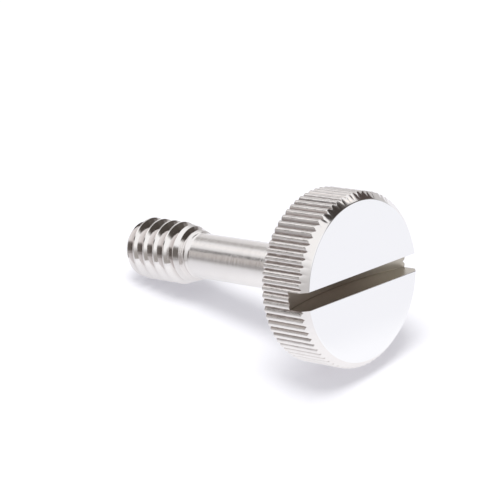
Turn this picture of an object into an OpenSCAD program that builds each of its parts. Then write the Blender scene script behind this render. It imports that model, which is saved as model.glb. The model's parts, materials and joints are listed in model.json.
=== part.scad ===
// Captive thumb screw in one piece: a slotted, knurled head, a plain shank that is
// thinner than the thread, and a short coarse thread at the tip. Millimetres.
// The screw is drawn upright on its slotted face, tip up, and then laid on its side
// the way it comes to rest: on the rim of the head's underside and on the thread.

/* [Head] */
// Diameter over the knurl
head_d = 12.7; // [10:0.1:20]
// Height of the head, from the slotted face to the underside
head_h = 4; // [3:0.1:7]
// Height of the bevel round the slotted face, along the screw
face_bevel_h = 0.43; // [0.1:0.01:0.8]
// Width of the bevel round the slotted face, across the screw
face_bevel_w = 0.49; // [0.1:0.01:0.8]
// Size of the bevel round the underside of the head
back_bevel = 0.12; // [0.05:0.01:0.3]

/* [Knurl] */
// Number of straight ridges round the head, a multiple of four
knurl_count = 72; // [48:4:84]
// Depth of the grooves between the ridges
knurl_depth = 0.17; // [0.05:0.01:0.2]
// Full angle of each groove
knurl_angle = 90; // [60:5:95]
// Rise of each ridge's crowned top above its two shoulders
ridge_crown = 0.02; // [0.01:0.005:0.04]

/* [Slot] */
// Width of the screwdriver slot
slot_w = 1.3; // [0.6:0.05:2.4]
// Depth of the screwdriver slot at its middle
slot_depth = 2.4; // [1:0.05:2.8]
// Diameter of the saw that the slot is cut with, which leaves its ends shallower
slot_saw_d = 44; // [40:1:100]
// Ridges that the slot is turned by from level, on the screw at rest
slot_turn = 1.5; // [0.5:1:17.5]

/* [Shank] */
// Overall length, from the slotted face to the tip
length = 22.3; // [18:0.1:60]
// Diameter of the plain shank, which is inside the bottom of the thread
shank_d = 3.4; // [2.6:0.01:3.4]
// Radius of the fillet between the head and the shank
neck_fillet = 0.3; // [0.1:0.05:1]

/* [Thread] */
// Outside diameter of the thread
thread_d = 4.7; // [4.7:0.01:4.8]
// Threads to the inch
threads_per_inch = 24; // [24:1:32]
// Length of the threaded end, from the tip to the start of the taper
thread_length = 4.8; // [3:0.1:12]
// Length of the taper between the thread and the shank
taper_length = 1.7; // [0.5:0.1:3]
// Size of the small shoulder that the taper starts with, over the shank
shoulder = 0.16; // [0.05:0.01:0.3]
// Length of the bevel at the tip, along the screw
tip_bevel_h = 0.75; // [0.3:0.05:1.2]
// Width of the bevel at the tip, across the screw
tip_bevel_w = 0.63; // [0.2:0.01:0.8]
// Distance from the tip to the last crest on the side that the screw rests on
last_crest = 0.6; // [0.3:0.05:1]

/* [Hidden] */

head_r = head_d / 2;
shank_r = shank_d / 2;
thread_r = thread_d / 2;
beyond = 1; // how far a cutting shape reaches past what it cuts

knurl_step = 360 / knurl_count;
// Half the width of a groove at the rim, as an angle
groove_half = asin((knurl_depth - ridge_crown) * tan(knurl_angle / 2) / head_r);
slot_angle = 90 + slot_turn * knurl_step;

// Unified thread form
pitch = 25.4 / threads_per_inch;
flank = 30;
crest_flat = pitch / 8;
thread_depth = 0.5954 * pitch;
root_r = thread_r - thread_depth;
root_flat = pitch - crest_flat - 2 * thread_depth * tan(flank);
thread_start = length - thread_length;
taper_start = thread_start - taper_length;
steps_per_turn = 28;
cut_clear = 0.04 * pitch; // how far the thread cut stands out of the thread

// The two places that the screw rests on: the rim of the head's underside, on two
// neighbouring ridges, and the corner of the last crest, which the tip's bevel trims
rim_rest_z = head_h - back_bevel;
rim_rest_r = head_r * cos(knurl_step / 2);
crest_rest_z = length - last_crest - crest_flat / 2;
tip_slope = tip_bevel_w / tip_bevel_h;
crest_rest_r = thread_r - max(0, crest_rest_z - (length - tip_bevel_h)) * tip_slope;
droop = atan((rim_rest_r - crest_rest_r) / (crest_rest_z - rim_rest_z));

// The box round the screw as it lies, for an origin at the middle of its base
face_r = head_r - face_bevel_w;
front_x = face_r * sin(droop);
tip_x = -length * cos(droop) - (thread_r - tip_bevel_w) * sin(droop);
rest_z = rim_rest_z * sin(droop) + rim_rest_r * cos(droop);

// Outline of the knurled rim: each ridge has a crowned top, with a sharp groove after
// it, and the middle of the slot meets a ridge
module knurl_outline() {
    polygon([for (i = [0 : knurl_count - 1])
        for (corner = [
            [head_r - ridge_crown, groove_half - knurl_step / 2],
            [head_r, 0],
            [head_r - ridge_crown, knurl_step / 2 - groove_half],
            [head_r - knurl_depth, knurl_step / 2]])
            let (angle = slot_angle + i * knurl_step + corner[1])
                corner[0] * [cos(angle), sin(angle)]]);
}

// The turned shape of the head, left wide of the rim so that only its bevels cut
module head_turning() {
    wide = head_r + beyond;
    rotate_extrude($fn = 96)
        polygon([
            [0, 0],
            [face_r, 0],
            [wide, face_bevel_h * (wide - face_r) / face_bevel_w],
            [wide, head_h - back_bevel - beyond],
            [head_r - back_bevel, head_h],
            [0, head_h]]);
}

// The slot, with the saw's round bottom, which is deepest in the middle
module slot_cut() {
    saw_r = slot_saw_d / 2;
    reach = head_r + beyond;
    arc_steps = 20;
    rotate(slot_angle)
        rotate([90, 0, 0])
            linear_extrude(slot_w, center = true)
                polygon(concat(
                    [[reach, -beyond], [-reach, -beyond]],
                    [for (i = [0 : arc_steps])
                        let (x = reach * (2 * i / arc_steps - 1),
                             rise = saw_r - sqrt(saw_r * saw_r - x * x))
                            [x, max(slot_depth - rise, -beyond / 2)]]));
}

module head() {
    difference() {
        intersection() {
            linear_extrude(head_h) knurl_outline();
            head_turning();
        }
        slot_cut();
    }
}

// The turned shape of the shank, its fillet under the head, the taper and the thread.
// It starts inside the head, below the slot.
module shank_turning() {
    fillet_steps = 8;
    start = (slot_depth + head_h) / 2;
    rotate_extrude($fn = 96)
        polygon(concat(
            [[0, start], [shank_r + neck_fillet, start]],
            [for (i = [0 : fillet_steps])
                let (angle = 90 * i / fillet_steps)
                    [shank_r + neck_fillet * (1 - sin(angle)),
                     head_h + neck_fillet * (1 - cos(angle))]],
            [[shank_r, taper_start],
             [shank_r + shoulder, taper_start + shoulder],
             [thread_r, thread_start],
             [thread_r, length - tip_bevel_h],
             [thread_r - tip_bevel_w, length],
             [0, length]]));
}

// One section of the thread cut, at a turn counted from the last crest to the head
function cut_section(turn) =
    let (low_half = root_flat / 2,
         high = thread_r + cut_clear,
         high_half = low_half + (high - root_r) * tan(flank),
         z = length - last_crest + pitch / 2 - turn * pitch,
         angle = 180 - 360 * turn)
    [for (corner = [[root_r, -low_half], [root_r, low_half], [high, high_half], [high, -high_half]])
        [corner[0] * cos(angle), corner[0] * sin(angle), z + corner[1]]];

// The thread cut: a right-hand helical groove that starts past the tip and runs out
// through the taper over the thinner shank
module thread_cut() {
    first_turn = -1 - (last_crest + beyond) / pitch;
    last_turn = 1 + (length - taper_start - last_crest) / pitch;
    sections = ceil((last_turn - first_turn) * steps_per_turn);
    points = [for (i = [0 : sections])
        each cut_section(first_turn + (last_turn - first_turn) * i / sections)];
    polyhedron(points, concat(
        [[3, 2, 1, 0]],
        [for (i = [0 : sections - 1], k = [0 : 3])
            let (a = 4 * i + k, b = 4 * i + (k + 1) % 4)
                each [[a, b, a + 4], [b, b + 4, a + 4]]],
        [[for (k = [0 : 3]) 4 * sections + k]]));
}

module threaded_shank() {
    difference() {
        shank_turning();
        thread_cut();
    }
}

module thumb_screw() {
    color([0.78, 0.77, 0.75])
        translate([-(front_x + tip_x) / 2, 0, rest_z])
            rotate([0, -90 - droop, 0])
                union() {
                    head();
                    threaded_shank();
                }
}

thumb_screw();
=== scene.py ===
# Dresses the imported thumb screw: turned and knurled steel on a pale table, in soft studio light
import json
import math

import bmesh
import bpy
import numpy as np
from mathutils import Matrix, Vector


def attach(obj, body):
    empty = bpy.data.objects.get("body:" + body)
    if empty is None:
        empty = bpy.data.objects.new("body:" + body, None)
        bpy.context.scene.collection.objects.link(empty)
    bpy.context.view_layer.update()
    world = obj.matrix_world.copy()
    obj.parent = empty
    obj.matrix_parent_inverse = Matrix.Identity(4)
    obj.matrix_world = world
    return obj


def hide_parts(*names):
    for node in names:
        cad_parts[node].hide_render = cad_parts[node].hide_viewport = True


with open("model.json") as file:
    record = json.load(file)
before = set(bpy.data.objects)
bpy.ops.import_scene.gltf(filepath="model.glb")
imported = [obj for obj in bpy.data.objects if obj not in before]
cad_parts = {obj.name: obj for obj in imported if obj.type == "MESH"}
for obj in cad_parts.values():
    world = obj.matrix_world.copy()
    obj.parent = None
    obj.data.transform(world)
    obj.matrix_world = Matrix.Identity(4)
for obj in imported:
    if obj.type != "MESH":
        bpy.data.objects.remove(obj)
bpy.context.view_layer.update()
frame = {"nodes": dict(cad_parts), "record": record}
mm = 0.001  # sizes below are in millimetres and angles in degrees
print("frame loaded")


# A mesh is drawn round its own Z axis, from the slotted face at 0 to the tip
def makeMesh(name, points, faces):
    mesh = bpy.data.meshes.new(name)
    mesh.from_pydata([tuple(point) for point in np.asarray(points) * mm], [], faces)
    mesh.validate()
    piece = bpy.data.objects.new(name, mesh)
    bpy.context.scene.collection.objects.link(piece)
    return piece


def unitRows(rows):
    return rows / np.linalg.norm(rows, axis=-1, keepdims=True)


# Corners are (height, radius, length of the rounding, extra rings after it).
# Heights and radii are numbers, or arrays with a value for each angle.
def softProfile(corners, steps=3):
    places = [np.stack(np.broadcast_arrays(*corner[:2]), -1).astype(float) for corner in corners]
    rings = []
    for index, (*_, rounding, extra) in enumerate(corners):
        place = places[index]
        leave = place
        if rounding:
            arrive = place + unitRows(places[index - 1] - place) * rounding
            leave = place + unitRows(places[index + 1] - place) * rounding
            for step in range(steps + 1):
                t = step / steps
                rings.append((1 - t) ** 2 * arrive + 2 * t * (1 - t) * place + t * t * leave)
        else:
            rings.append(place)
        if extra:
            target = places[index + 1]
            nextRounding = corners[index + 1][2]
            if nextRounding:
                target = target + unitRows(place - target) * nextRounding
            for step in range(1, extra + 1):
                t = step / (extra + 1)
                rings.append((1 - t) * leave + t * target)
    return rings


# Joins rings of points into a closed skin, with a middle point at each end
def skinRings(name, angles, rings):
    count = len(angles)
    points = [(0, 0, float(np.mean(rings[0][..., 0])))]
    for ring in rings:
        height, radius = np.broadcast_to(ring, (count, 2)).T
        points.extend(zip(radius * np.cos(angles), radius * np.sin(angles), height))
    points.append((0, 0, float(np.mean(rings[-1][..., 0]))))
    last = len(points) - 1
    faces = []
    for k in range(count):
        n = (k + 1) % count
        faces.append((0, 1 + n, 1 + k))
        for ring in range(len(rings) - 1):
            low, high = 1 + ring * count, 1 + (ring + 1) * count
            faces.append((low + k, low + n, high + n, high + k))
        top = 1 + (len(rings) - 1) * count
        faces.append((last, top + k, top + n))
    return makeMesh(name, points, faces)


def combine(target, tool, operation):
    step = target.modifiers.new(operation, "BOOLEAN")
    step.operation, step.solver, step.object = operation, "MANIFOLD", tool
    solved = target.evaluated_get(bpy.context.evaluated_depsgraph_get())
    mesh = bpy.data.meshes.new_from_object(solved)
    target.modifiers.clear()
    target.data = mesh
    bpy.data.objects.remove(tool)
    return target


# Cutting leaves slivers and folded pairs of faces behind
def closeSlivers(piece, reach=0.0008):
    mesh = bmesh.new()
    mesh.from_mesh(piece.data)
    bmesh.ops.remove_doubles(mesh, verts=mesh.verts, dist=reach * mm)
    bmesh.ops.triangulate(mesh, faces=[face for face in mesh.faces if len(face.verts) > 4])
    bmesh.ops.dissolve_degenerate(mesh, edges=mesh.edges, dist=reach * mm)
    sharing = {}
    for face in mesh.faces:
        sharing.setdefault(frozenset(face.verts), []).append(face)
    folded = [face for faces in sharing.values() if len(faces) > 1 for face in faces]
    bmesh.ops.delete(mesh, geom=folded, context="FACES")
    print("open edges:", sum(not edge.is_manifold for edge in mesh.edges))
    mesh.to_mesh(piece.data)
    mesh.free()


headSize = {
    "radius": 6.35,
    "height": 4.0,
    "faceBevel": (0.53, 0.54),  # along and across the screw
    "faceRounding": 0.05,
    "faceRing": 0.6,  # width of the outer band that the flat face is drawn with
    "backBevel": 0.05,
    "backRounding": 0.02,
    "backRing": 0.4,
    "ridges": 72,
    "ridgeTop": 0.127,  # half the width of a ridge's crowned top
    "crown": 0.02,
    "crestSoftness": 0.03,
    "grooveSoftness": 0.025,
    "ridgeEnd": 0.008,  # rounding where a ridge meets the bevel
    "ridgeRings": 22,
    "lean": 0.05,  # uneven ridges, as shares of half a ridge's width and of its depth
    "unevenDepth": 0.03,
    "wobble": 0.004,  # how much the knurling tool wandered
    "wobbleWaves": ((5.1, 1.0), (11.3, 0.7), (23.0, 0.5)),  # waves along the ridge and their shares
    "wobblePlace": (0.4, 4),  # its share on the crests, and how it grows with depth
    "steadyEnds": (0.3, 0.2),  # the stretch over which it sets in, at the face and at the back
    "slotAngle": 97.5,
    "slotWidth": 1.3,
    "slotDepth": 2.4,  # in the middle, as the saw leaves the ends shallower
    "sawRadius": 22.0,
    "slotEdge": 0.03,
    "slotCorner": 0.03,
    "slotShift": 0.05,  # how far the slot is off the middle
}


# How far the rim lies below its crests, at each distance from the middle of a ridge
def ridgeDrop(sideways, size):
    half = math.pi * size["radius"] / size["ridges"]

    def oneSide(x):
        crest = size["crown"] * (x / size["ridgeTop"]) ** 2
        flank = size["crown"] + x - size["ridgeTop"]
        return (crest + flank + np.sqrt((crest - flank) ** 2 + size["crestSoftness"] ** 2)) / 2

    x = np.abs(sideways)
    near, far = oneSide(x), oneSide(2 * half - x)
    drop = (near + far - np.sqrt((near - far) ** 2 + size["grooveSoftness"] ** 2)) / 2
    return drop - drop.min()


def makeHead(size):
    half = math.pi / size["ridges"]
    oneSide = [0.22, 0.38, 0.48, 0.58, 0.72, 0.86, 0.94]  # places across half a ridge
    samples = np.array([-1, *(-x for x in reversed(oneSide)), 0, *oneSide])
    chance = np.random.RandomState(7)
    turn = math.radians(size["slotAngle"])
    angles, phases, depths = [], [], []
    for ridge in range(size["ridges"]):
        lean = chance.normal(0, size["lean"])
        depth = 1 + chance.normal(0, size["unevenDepth"])
        phase = chance.uniform(0, math.tau, len(size["wobbleWaves"]))
        for sample in samples:
            edge = 1 - abs(sample)
            angles.append(turn + half * (2 * ridge + sample + lean * edge))
            phases.append(phase)
            depths.append(depth)
    angles, phases = np.array(angles), np.array(phases)
    drops = ridgeDrop(np.tile(samples, size["ridges"]) * half * size["radius"], size) * np.array(depths)
    rim = size["radius"] - drops
    along, across = size["faceBevel"]
    faceRadius = size["radius"] - across
    bevelEnd = along * (rim - faceRadius) / across
    height, back = size["height"], size["backBevel"]
    rings = softProfile([
        (0, faceRadius - size["faceRing"], 0, 0),
        (0, faceRadius, size["faceRounding"], 0),
        (bevelEnd, rim, size["ridgeEnd"], size["ridgeRings"]),
        (height - back, rim, size["backRounding"], 0),
        (height, rim - back, size["backRounding"], 0),
        (height, faceRadius - size["backRing"], 0, 0),
    ])
    rings = [np.broadcast_to(ring, (len(angles), 2)).copy() for ring in rings]
    atFace, atBack = size["steadyEnds"]
    onCrest, withDepth = size["wobblePlace"]
    for ring in rings:
        place = ring[:, 0]
        free = np.clip((place - bevelEnd) / atFace, 0, 1) * np.clip((height - back - place) / atBack, 0, 1)
        sway = sum(share * np.sin(wave * place + phases[:, index])
                   for index, (wave, share) in enumerate(size["wobbleWaves"]))
        ring[:, 1] += size["wobble"] * sway * free * (onCrest + withDepth * drops)
    return skinRings("head", angles, rings)


def makeSlotCutter(size):
    half, edge, corner = size["slotWidth"] / 2, size["slotEdge"], size["slotCorner"]
    spare = 1  # how far the cutter stands out of the head
    reach = size["radius"] + spare
    turn = math.radians(size["slotAngle"])
    along = np.array([math.cos(turn), math.sin(turn), 0])
    across = np.array([-math.sin(turn), math.cos(turn), 0])
    inward = np.array([0, 0, 1])
    points = []
    for station in np.linspace(-reach, reach, 61):
        depth = size["slotDepth"] - size["sawRadius"] + math.sqrt(size["sawRadius"] ** 2 - station**2)
        outline = [(-half - edge - spare, -spare), (-half, edge)]
        outline += [(-half, depth - corner), (-half + corner, depth)]
        outline += [(-x, y) for x, y in reversed(outline)]
        for x, y in outline:
            points.append(along * station + across * (x + size["slotShift"]) + inward * y)
    count, last = len(outline), len(points)
    faces = [tuple(range(count)), tuple(range(last - 1, last - count - 1, -1))]
    for low in range(0, last - count, count):
        for k in range(count):
            n = (k + 1) % count
            faces.append((low + n, low + k, low + count + k, low + count + n))
    return makeMesh("slotCutter", points, faces)


rodSize = {
    "length": 22.3,
    "shank": 1.7,
    "neck": 0.3,  # the fillet under the head
    "taper": (15.8, 17.5),  # where it leaves the shank and where it reaches the thread
    "shoulder": 0.16,  # the taper's small first step
    "shankRounding": 0.12,
    "shoulderRounding": 0.09,
    "tipBevel": (0.75, 0.63),  # along and across the screw
    "tipRounding": 0.05,
    "tipRing": 1.2,
    "threadRadius": 2.35,
    "pitch": 25.4 / 24,
    "lastCrest": 0.6,
    "crestFlat": 1 / 8,  # the next three are shares of the pitch
    "rootFlat": 0.1875,
    "depth": 0.5954,
    "crestRounding": 0.02,
    "rootRounding": 0.06,
    "threadedTurns": 6.5,
    "drawnTurns": (-20, 3),  # from under the head to past the tip
}


def makeTurnedRod(size):
    head, length, radius = headSize["height"], size["length"], size["threadRadius"]
    start = (headSize["slotDepth"] + head) / 2
    neck = size["shank"] + size["neck"]
    low, high = size["taper"]
    step = size["shoulder"]
    slope = (radius - size["shank"] - step) / (high - low - step)
    spare = 0.1  # the thread's own crests are left to the thread
    down, over = size["tipBevel"]
    fillet = [(head + size["neck"] * (1 - math.cos(a)), neck - size["neck"] * math.sin(a), 0, 0)
              for a in np.radians(range(0, 91, 15))]
    rings = softProfile([
        (start, neck, 0, 0),
        *fillet,
        (low, size["shank"], size["shankRounding"], 0),
        (low + step, size["shank"] + step, size["shoulderRounding"], 0),
        (high + spare / slope, radius + spare, 0, 0),
        (length - down - spare * down / over, radius + spare, 0, 0),
        (length, radius - over, size["tipRounding"], 0),
        (length, size["tipRing"], 0, 0),
    ], steps=6)
    return skinRings("rod", np.linspace(0, math.tau, 240, endpoint=False), rings)


# A right-hand helical skin: row r of the first column meets row r - rowsPerTurn of the last one
def makeThreadForm(size):
    pitch, radius = size["pitch"], size["threadRadius"]
    crest, root, depth = pitch * size["crestFlat"] / 2, pitch * size["rootFlat"] / 2, pitch * size["depth"]
    oneTurn = softProfile([
        (-pitch / 2, radius - depth, 0, 0),
        (-pitch / 2 + root, radius - depth, size["rootRounding"], 1),
        (-crest, radius, size["crestRounding"], 0),
        (0, radius, 0, 0),
        (crest, radius, size["crestRounding"], 1),
        (pitch / 2 - root, radius - depth, size["rootRounding"], 0),
        (pitch / 2, radius - depth, 0, 0),
    ], steps=4)[:-1]
    columns, rowsPerTurn = 180, len(oneTurn)
    base = size["length"] - size["lastCrest"] - pitch / 2
    wide = radius + 0.4  # clear of the shank
    past = size["length"] + 0.3
    rows = []
    for turn in range(*size["drawnTurns"]):
        for height, ringRadius in oneTurn:
            place = base + turn * pitch + height
            threaded = base - pitch * size["threadedTurns"] < place < past
            rows.append((place, ringRadius if threaded else wide))
    points = []
    for column in range(columns):
        angle, rise = math.tau * column / columns, pitch * column / columns
        for place, ringRadius in rows:
            points.append((ringRadius * math.cos(angle), ringRadius * math.sin(angle), place + rise))
    count = len(rows)
    faces = []
    for column in range(columns):
        for row in range(count - 1):
            near = column * count + row
            if column < columns - 1:
                faces.append((near, near + count, near + count + 1, near + 1))
            elif row + rowsPerTurn + 1 < count:
                far = row + rowsPerTurn
                faces.append((near, far, far + 1, near + 1))
    bottom, top = len(points), len(points) + 1
    points += [(0, 0, rows[0][0] + pitch / 2), (0, 0, rows[-1][0] + pitch / 2)]
    lowLoop = [column * count for column in range(columns)] + list(range(rowsPerTurn, 0, -1))
    lastColumn = (columns - 1) * count
    highLoop = [column * count + count - 1 for column in range(columns)]
    highLoop += [lastColumn + row for row in range(count - 2, count - 2 - rowsPerTurn, -1)]
    for loop, hub, order in ((lowLoop, bottom, -1), (highLoop, top, 1)):
        for here, there in zip(loop, loop[1:] + loop[:1]):
            faces.append((hub, here, there)[::order])
    return makeMesh("threadForm", points, faces)


# Where the screw lies: its middle line passes through the middle of the thread mount
def findLie():
    mounts = {mount["name"]: mount for mount in frame["record"]["mounts"]}
    along = Vector(mounts["thread"]["axis"]).normalized()
    upward = (Vector((0, 0, 1)) - along * along.z).normalized()
    thread, seat = (Vector(mounts[name]["pos_m"]) for name in ("thread", "seat"))
    place = Matrix((upward, along.cross(upward), along)).transposed().to_4x4()
    place.translation = thread + along * ((seat - thread).dot(along) - headSize["height"] * mm)
    return place


screw = makeHead(headSize)
rod = combine(makeTurnedRod(rodSize), makeThreadForm(rodSize), "INTERSECT")
screw = combine(screw, rod, "UNION")
screw = combine(screw, makeSlotCutter(headSize), "DIFFERENCE")
closeSlivers(screw)
screw.name = screw.data.name = "thumbScrew"
screw.data.shade_smooth()
screw.data.set_sharp_from_angle(angle=math.radians(32))
flatShade = screw.modifiers.new("flatShade", "WEIGHTED_NORMAL")
flatShade.keep_sharp = True
lie = findLie()
screw.data.transform(lie)
print("screw built,", len(screw.data.polygons), "faces")


# One output socket, so that shader maths reads as plain expressions
class Wire:
    def __init__(self, sheet, socket):
        self.sheet, self.socket = sheet, socket

    def __add__(self, other):
        return self.sheet.maths("ADD", self, other)

    def __radd__(self, other):
        return self.sheet.maths("ADD", other, self)

    def __sub__(self, other):
        return self.sheet.maths("SUBTRACT", self, other)

    def __rsub__(self, other):
        return self.sheet.maths("SUBTRACT", other, self)

    def __mul__(self, other):
        return self.sheet.maths("MULTIPLY", self, other)

    def __rmul__(self, other):
        return self.sheet.maths("MULTIPLY", other, self)

    def __truediv__(self, other):
        return self.sheet.maths("DIVIDE", self, other)

    def __rtruediv__(self, other):
        return self.sheet.maths("DIVIDE", other, self)

    def __pow__(self, other):
        return self.sheet.maths("POWER", self, other)


class NodeSheet:
    def __init__(self, owner):
        owner.use_nodes = True
        self.tree = owner.node_tree
        self.tree.nodes.clear()

    # Settings are set first, then each socket takes a value or a link
    def node(self, kind, settings=None, sockets=None, output=0):
        made = self.tree.nodes.new(kind)
        for name, value in (settings or {}).items():
            setattr(made, name, value)
        for name, value in (sockets or {}).items():
            if isinstance(value, Wire):
                self.tree.links.new(value.socket, made.inputs[name])
            else:
                made.inputs[name].default_value = value
        return Wire(self, made.outputs[output]) if made.outputs else made

    def maths(self, operation, left, right):
        if any(side.socket.type == "VECTOR" for side in (left, right) if isinstance(side, Wire)):
            sides = [side if isinstance(side, (Wire, tuple)) else (side,) * 3 for side in (left, right)]
            return self.node("ShaderNodeVectorMath", {"operation": operation}, {0: sides[0], 1: sides[1]})
        return self.node("ShaderNodeMath", {"operation": operation}, {0: left, 1: right})

    def vectorMeasure(self, operation, left, right):
        return self.node("ShaderNodeVectorMath", {"operation": operation}, {0: left, 1: right}, "Value")

    def dot(self, left, right):
        return self.vectorMeasure("DOT_PRODUCT", left, right)

    def distance(self, left, right):
        return self.vectorMeasure("DISTANCE", left, right)

    def maximum(self, left, right):
        return self.maths("MAXIMUM", left, right)

    # Rises from 0 at low to 1 at high, and the other way round where low is the larger
    def ease(self, value, low, high):
        return self.node("ShaderNodeMapRange", {"interpolation_type": "SMOOTHSTEP"},
                         {"Value": value, "From Min": low, "From Max": high})

    def blend(self, share, first, second):
        return self.node("ShaderNodeMix", {"data_type": "RGBA"}, {0: share, 6: first, 7: second}, 2)

    def noise(self, place, scale, detail=2.0, rough=0.5):
        return self.node("ShaderNodeTexNoise", {"noise_dimensions": "3D"},
                         {"Vector": place, "Scale": scale, "Detail": detail, "Roughness": rough})

    def combine(self, x, y, z):
        return self.node("ShaderNodeCombineXYZ", sockets={0: x, 1: y, 2: z})

    def coordinate(self, kind):
        return self.node("ShaderNodeTexCoord", output=kind)

    def ray(self, kind):
        return self.node("ShaderNodeLightPath", output=kind)

    def emission(self, colour, strength=1.0):
        return self.node("ShaderNodeEmission", sockets={"Color": colour, "Strength": strength})


# Bands are where a zone fades in, as depths from the face unless a note says otherwise
steel = {
    "colour": (0.87, 0.845, 0.835, 1),
    "duller": (0.78, 0.74, 0.72, 1),
    # painted light: the flat face gets a brighter, cooler copy of the steel colour
    "face": (0.92, 0.92, 0.93, 1),
    # painted shade and grime: a darker brown-grey deep in the knurl grooves and the thread roots
    "groove": (0.51, 0.455, 0.435, 1),
    # painted shade in the slot, with painted light toward one of its ends
    "slot": (0.48, 0.43, 0.38, 1),
    "slotEnd": (0.57, 0.53, 0.46, 1),
    "slotEndBand": (0, 6),  # along the slot
    "faceRoughness": 0.1,
    "rimRoughness": 0.2,
    "shankRoughness": 0.095,
    "threadRoughness": 0.08,
    "slotRoughness": 0.3,
    "faceBand": (0.02, 0.05),
    "slotBand": (0.03, 0.08),
    "slotFloorBand": (0.02, 0.05),  # below the slot's floor
    "slotWallBand": (0.005, 0.02),  # outside the slot's walls
    "bevelBand": (0.02, 0.07),  # behind the bevel
    "rimBand": (6.0, 6.1),  # radius
    "headBand": (3.98, 4.02),
    "threadBand": (15.6, 17.0),
    "grooveBand": (6.32, 6.18),  # radius
    "rootShadeAndGrimeBand": (2.15, 1.75),  # radius
    "rootShadeAndGrimeShare": 0.6,
    "ringDepth": 0.02,  # turning marks
    "ringScale": (0.5, 7.0, 5.0),  # round the axis, along it and out from it
    "ringsOffHead": 0.9,  # how far the head and the thread are free of them
    "ringsOffThread": 0.9,
    "streakDepth": 0.012,  # marks of the knurling tool
    "streakScale": (6.0, 1.1),  # across the ridges and along them
    "streakBand": (0.45, 0.8),  # noise level
    "streakWear": 0.5,
    "streakRoughness": 0.08,
    "cloudScale": 0.55,
    "cloudBand": (0.35, 0.75),  # noise level
    "cloudWear": 0.25,
    "cloudRoughness": 0.05,
    "grainScale": 9.0,
    "grainDepth": 0.0006,
}


def makeTurnedSteel(finish):
    material = bpy.data.materials.new("turnedSteel")
    sheet = NodeSheet(material)
    fromOrigin = (sheet.coordinate("Object") - tuple(lie.translation)) / mm
    x, y, z = (sheet.dot(fromOrigin, tuple(lie.col[axis][:3])) for axis in range(3))
    place = sheet.combine(x, y, z)
    radius = (x * x + y * y) ** 0.5
    fromAxis = sheet.maximum(radius, 0.05)
    aroundX, aroundY = x / fromAxis, y / fromAxis

    # Where each zone of the screw is
    onHead = 1 - sheet.ease(z, *finish["headBand"])
    along, across = headSize["faceBevel"]
    bevelRise = (radius - (headSize["radius"] - across)) * (along / across)
    onRim = onHead * sheet.ease(radius, *finish["rimBand"])
    onRim = onRim * sheet.ease(z - bevelRise, *finish["bevelBand"])
    onFace = 1 - sheet.ease(z, *finish["faceBand"])
    onThread = sheet.ease(z, *finish["threadBand"])
    turn = math.radians(headSize["slotAngle"])
    lengthwise = x * math.cos(turn) + y * math.sin(turn)
    sideways = x * -math.sin(turn) + y * math.cos(turn) - headSize["slotShift"]
    slotFloor = headSize["slotDepth"] - lengthwise * lengthwise / (2 * headSize["sawRadius"])
    wallBand = [(headSize["slotWidth"] / 2 + out) ** 2 for out in finish["slotWallBand"]]
    inSlot = sheet.ease(z, *finish["slotBand"]) * (1 - sheet.ease(z - slotFloor, *finish["slotFloorBand"]))
    inSlot = inSlot * (1 - sheet.ease(sideways * sideways, *wallBand))

    # Marks of the tools
    around, lengthways, outward = finish["ringScale"]
    ringPlace = sheet.combine(aroundX * around, aroundY * around, z * lengthways + radius * outward)
    rings = sheet.noise(ringPlace, 1.0, 4.0, 0.7)
    acrossRidges, alongRidges = finish["streakScale"]
    streaks = sheet.noise(sheet.combine(x * acrossRidges, y * acrossRidges, z * alongRidges), 1.6, 3.0)
    cloud = sheet.noise(place, finish["cloudScale"], 3.0)
    grain = sheet.noise(place, finish["grainScale"])
    ringShare = (1 - onRim) * (1 - onHead * finish["ringsOffHead"])
    ringShare = ringShare * (1 - onThread * finish["ringsOffThread"])
    relief = (rings - 0.5) * ringShare * finish["ringDepth"]
    relief = relief + (streaks - 0.5) * onRim * finish["streakDepth"]
    relief = relief + (grain - 0.5) * finish["grainDepth"]
    normal = sheet.node("ShaderNodeBump", sockets={"Height": relief * mm, "Distance": 1.0, "Strength": 1.0})

    # Colour, from the bare steel to painted shade and grime in the grooves, a lighter painted copy on the
    # face and painted shade in the slot
    worn = sheet.ease(cloud, *finish["cloudBand"]) * finish["cloudWear"]
    worn = worn + sheet.ease(streaks, *finish["streakBand"]) * onRim * finish["streakWear"]
    # Painted shade and grime, darker the deeper a point lies in the knurl grooves and, at a share, the
    # thread roots
    groove = onRim * sheet.ease(radius, *finish["grooveBand"])
    groove = groove + onThread * sheet.ease(radius, *finish["rootShadeAndGrimeBand"]) * finish["rootShadeAndGrimeShare"]
    colour = sheet.blend(groove, sheet.blend(worn, finish["colour"], finish["duller"]), finish["groove"])
    # Painted light: the flat face takes its brighter, cooler copy of the steel colour
    colour = sheet.blend(onFace, colour, finish["face"])
    # Painted shade in the slot, lightened by painted light toward one end
    towardLitSlotEnd = sheet.ease(lengthwise, *finish["slotEndBand"])
    colour = sheet.blend(inSlot, colour, sheet.blend(towardLitSlotEnd, finish["slot"], finish["slotEnd"]))

    rough = finish["shankRoughness"] + onHead * (finish["faceRoughness"] - finish["shankRoughness"])
    rough = rough + onRim * (finish["rimRoughness"] - finish["faceRoughness"])
    rough = rough + onThread * (finish["threadRoughness"] - finish["shankRoughness"])
    rough = rough + (cloud - 0.5) * finish["cloudRoughness"]
    rough = rough + (streaks - 0.5) * finish["streakRoughness"] * onRim
    rough = rough + inSlot * (finish["slotRoughness"] - rough)
    surface = sheet.node("ShaderNodeBsdfPrincipled", sockets={
        "Base Color": colour, "Metallic": 1.0, "Roughness": rough, "Normal": normal,
    })
    sheet.node("ShaderNodeOutputMaterial", sockets={"Surface": surface})
    return material


screw.data.materials.clear()
screw.data.materials.append(makeTurnedSteel(steel))
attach(screw, "root")
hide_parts("thumb_screw")
for node in frame["nodes"].values():
    node.data.materials.clear()
    node.data.materials.append(screw.data.materials[0])
print("steel finished")


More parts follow.
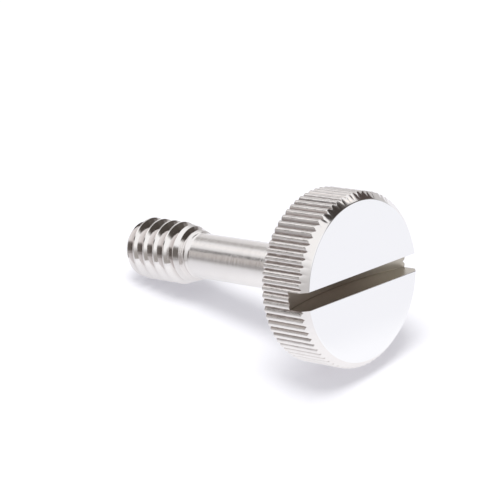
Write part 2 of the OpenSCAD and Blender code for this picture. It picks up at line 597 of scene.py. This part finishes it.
table = {
    "halfWidth": 1200,
    "albedo": (0.78, 0.78, 0.79, 1),
    "glow": (0.265, 0.265, 0.3, 1),  # keeps the ground white and its shadow light
    # Painted reflection: tones that only polished steel sees of the table, laid over its real shading
    "paintedReflectionNear": (1.06, 1.06, 1.08, 1),  # what polished steel sees of it: near the head,
    "paintedReflectionMiddle": (0.96, 0.96, 0.99, 1),  # further out,
    "paintedReflectionFar": (0.25, 0.235, 0.225, 1),  # and far off past the tip
    "paintedReflectionShare": 0.8,
    "nearPoint": (10, 0, 0),
    "nearBand": (8, 20),  # distance from that point
    "away": (-0.7, -0.7, 0),
    "farBand": (-5, 50),  # distance in that direction
}


def makeTable(size):
    reach = size["halfWidth"]
    corners = [(-reach, -reach, 0), (reach, -reach, 0), (reach, reach, 0), (-reach, reach, 0)]
    top = makeMesh("table", corners, [(0, 1, 2, 3)])
    material = bpy.data.materials.new("paleTable")
    sheet = NodeSheet(material)
    direct, mirrored = sheet.ray("Is Camera Ray"), sheet.ray("Is Glossy Ray")
    diffuse = sheet.node("ShaderNodeBsdfDiffuse", sockets={"Color": size["albedo"]})
    glow = sheet.emission(size["glow"], direct + mirrored)
    surface = sheet.node("ShaderNodeAddShader", sockets={0: diffuse, 1: glow})
    # Painted reflection for glossy rays: brighter near the head, where the real table lies in shade, and
    # dark far off past the tip
    place = sheet.coordinate("Object") / mm
    near = sheet.ease(sheet.distance(place, size["nearPoint"]), *size["nearBand"])
    far = sheet.ease(sheet.dot(place, size["away"]), *size["farBand"])
    tone = sheet.blend(near, size["paintedReflectionNear"], size["paintedReflectionMiddle"])
    paintedReflection = sheet.emission(sheet.blend(far, tone, size["paintedReflectionFar"]))
    share = mirrored * size["paintedReflectionShare"]
    surface = sheet.node("ShaderNodeMixShader", sockets={0: share, 1: surface, 2: paintedReflection})
    sheet.node("ShaderNodeOutputMaterial", sockets={"Surface": surface})
    top.data.materials.append(material)


makeTable(table)
print("table laid")


# A soft patch is its azimuth from +X toward +Y, its elevation, its inner and outer radius, and its tone
studio = {
    "wall": (0.62, 0.61, 0.61, 1),
    "ceiling": (1.05, 1.05, 1.06, 1),
    "ceilingBand": (0.2, 0.8),
    "patches": [
        (-6, 44, 17, 26, (1.05, 1.05, 1.05, 1)),
        (-112, 18, 12, 27, (0.17, 0.155, 0.145, 1)),
        (-143, 12, 5, 16, (0.62, 0.585, 0.57, 1)),
        (-150, 24, 5, 8.5, (0.04, 0.035, 0.03, 1)),
        (-172, 36, 4, 12, (1.09, 1.07, 1.06, 1)),
        (158, 29, 3, 13, (0.42, 0.40, 0.39, 1)),
        (138, 7, 3, 14, (0.85, 0.83, 0.83, 1)),
        (-17, 8, 4, 14, (0.40, 0.375, 0.36, 1)),
        (30, 42, 5, 16, (0.15, 0.135, 0.125, 1)),
        (45, 40, 12, 22, (0.075, 0.065, 0.057, 1)),
        (75, 14, 2, 7, (0.22, 0.20, 0.19, 1)),
        (65, 26, 6, 13, (0.10, 0.088, 0.08, 1)),
        (84, 25, 9, 12.5, (0.09, 0.07, 0.065, 1)),
        (51, 20, 8, 15, (0.085, 0.066, 0.052, 1)),
        (48, 60, 9, 14, (0.06, 0.052, 0.048, 1)),
        (67, 52, 3, 7, (0.10, 0.09, 0.083, 1)),
        (76, 42.5, 1.5, 4, (1.3, 1.22, 1.15, 1)),
    ],
    "background": (1, 1, 1, 1),
    "softLight": 0.71,  # what the walls give to matt surfaces, as against 1 when they are seen
    "sun": 1.45,
    "sunSpread": 29,
    "sunTilt": 6,
}


def aim(azimuth, elevation):
    azimuth, elevation = math.radians(azimuth), math.radians(elevation)
    level = math.cos(elevation)
    return (level * math.cos(azimuth), level * math.sin(azimuth), math.sin(elevation))


def makeStudio(light):
    world = bpy.data.worlds.new("studio")
    bpy.context.scene.world = world
    sheet = NodeSheet(world)
    direction = sheet.coordinate("Generated")
    rise = sheet.dot(direction, (0, 0, 1))
    tone = sheet.blend(sheet.ease(rise, *light["ceilingBand"]), light["wall"], light["ceiling"])
    for azimuth, elevation, inner, outer, patch in light["patches"]:
        facing = sheet.dot(direction, aim(azimuth, elevation))
        cover = sheet.ease(facing, math.cos(math.radians(outer)), math.cos(math.radians(inner)))
        tone = sheet.blend(cover, tone, patch)
    direct, mirrored = sheet.ray("Is Camera Ray"), sheet.ray("Is Glossy Ray")
    tone = sheet.blend(direct, tone, light["background"])
    strength = light["softLight"] + (direct + mirrored) * (1 - light["softLight"])
    glow = sheet.node("ShaderNodeBackground", sockets={"Color": tone, "Strength": strength})
    sheet.node("ShaderNodeOutputWorld", sockets={"Surface": glow})

    lamp = bpy.data.lights.new("overhead", "SUN")
    lamp.energy = light["sun"]
    lamp.angle = math.radians(light["sunSpread"])
    overhead = bpy.data.objects.new("overhead", lamp)
    overhead.rotation_euler = (math.radians(light["sunTilt"]), 0, 0)
    overhead.visible_glossy = False
    bpy.context.scene.collection.objects.link(overhead)


makeStudio(studio)
print("studio lit")


view = {
    "place": (98.0391, -111.6691, 86.3773),
    "right": (0.750443, 0.660935, 0.0),
    "up": (-0.315039, 0.357703, 0.87909),
    "back": (0.581022, -0.659707, 0.476656),
    "lens": 165.6,
    "nearest": 5,
    "farthest": 20000,
}


def makeCamera(view):
    lens = bpy.data.cameras.new("camera")
    lens.sensor_width = 36
    lens.lens = view["lens"]
    lens.clip_start, lens.clip_end = view["nearest"] * mm, view["farthest"] * mm
    camera = bpy.data.objects.new("camera", lens)
    place = Matrix((view["right"], view["up"], view["back"])).transposed().to_4x4()
    place.translation = Vector(view["place"]) * mm
    camera.matrix_world = place
    bpy.context.scene.collection.objects.link(camera)
    bpy.context.scene.camera = camera


makeCamera(view)
bpy.context.scene.view_settings.view_transform = "Standard"
print("camera set")
